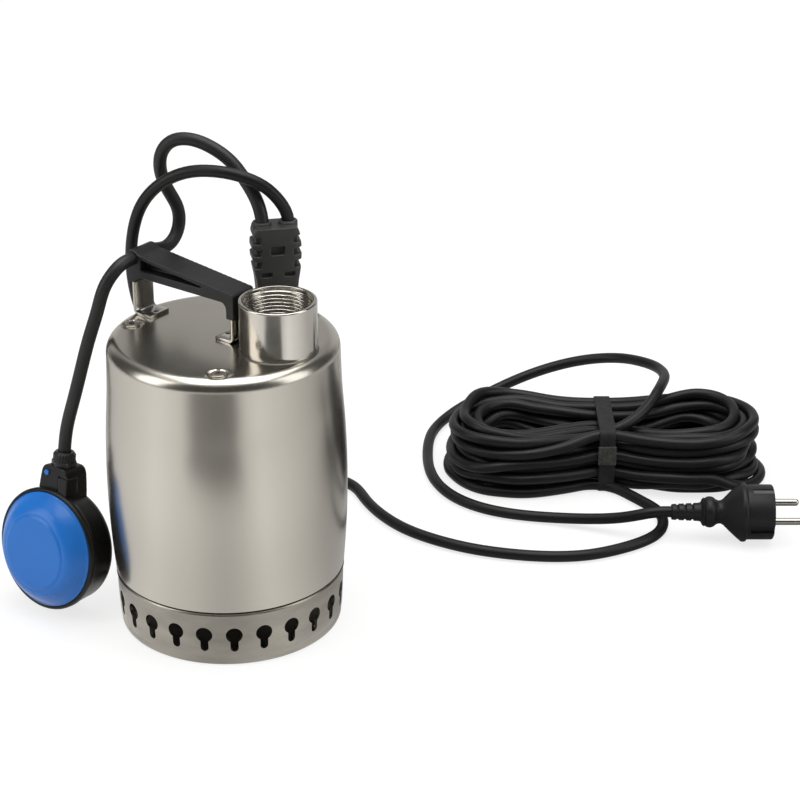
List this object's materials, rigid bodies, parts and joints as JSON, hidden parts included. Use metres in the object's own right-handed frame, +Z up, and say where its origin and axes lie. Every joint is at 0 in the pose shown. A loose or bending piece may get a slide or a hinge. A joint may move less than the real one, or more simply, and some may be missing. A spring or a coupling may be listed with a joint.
{
  "type": "submersible pump",
  "caption": "Submersible drainage pump with a stainless casing, slotted foot strainer, top discharge socket, carrying handle, float switch and a tied hank of mains cable with plug.",
  "frame": {"origin": "on the motor axis, on the plane that the strainer stands on", "axes": "+Z up along the motor axis, +X along the carrying handle towards the discharge port, +Y towards the hank of cable behind the pump"},
  "size_m": [0.3825, 0.4824, 0.3006],
  "materials": {
    "steel": "satin",
    "bright_steel": "polished",
    "iron": "machined",
    "copper": "varnished wire",
    "brass": "machined",
    "black_plastic": "moulded, fine grain",
    "black_rubber": "matte",
    "float_blue": "glossy",
    "white_plastic": "matte",
    "ceramic": "lapped"
  },
  "bodies": {
    "casing": {"strainer": "steel", "suction_cover": "black_plastic", "pump_housing": "black_plastic", "housing_seal": "black_rubber", "seal_seat": "ceramic", "oil_chamber": "iron", "lower_bearing": "bright_steel", "upper_bearing": "bright_steel", "motor_can": "steel", "stator_core": "iron", "stator_windings": "copper", "motor_cover": "iron", "cover_seal": "black_rubber", "capacitor": "white_plastic", "cable_duct": "black_rubber", "sleeve": "steel", "discharge_socket": "bright_steel", "tie_screws": "bright_steel", "handle_strap": "bright_steel", "handle_grip": "black_plastic", "boot_seal": "black_rubber", "cable_boot": "black_rubber", "float_lead": "black_rubber", "mains_cable": "black_rubber", "cable_hank": "black_rubber", "hank_tie": "black_rubber", "cable_tail": "black_rubber", "plug_body": "black_rubber", "plug_pins": "bright_steel", "plug_earth": "bright_steel"},
    "rotor": {"shaft": "bright_steel", "rotor_core": "iron", "impeller": "black_plastic", "impeller_nut": "brass", "seal_head": "black_rubber"},
    "float": {"float_shell": "black_plastic", "float_cap": "float_blue", "float_gland": "black_plastic", "float_pin": "float_blue", "float_switch": "white_plastic", "float_lead_free": "black_rubber"},
    "ball": {"float_ball": "bright_steel"}
  },
  "joints": [
    {"name": "rotor_spin", "type": "hinge", "parent": "casing", "child": "rotor", "pos_m": [0, 0, 0], "axis": [0, 0, 1], "continuous": true},
    {"name": "float_swing", "type": "hinge", "parent": "casing", "child": "float", "pos_m": [-0.063, -0.01, 0.228], "axis": [-0.787, 0.617, 0], "range_deg": [0, 110], "deforming": ["float_lead_free"]},
    {"name": "ball_roll", "type": "slide", "parent": "float", "child": "ball", "axis": [0, 0.1736, 0.9848], "range_m": [0, 0.0139]}
  ]
}
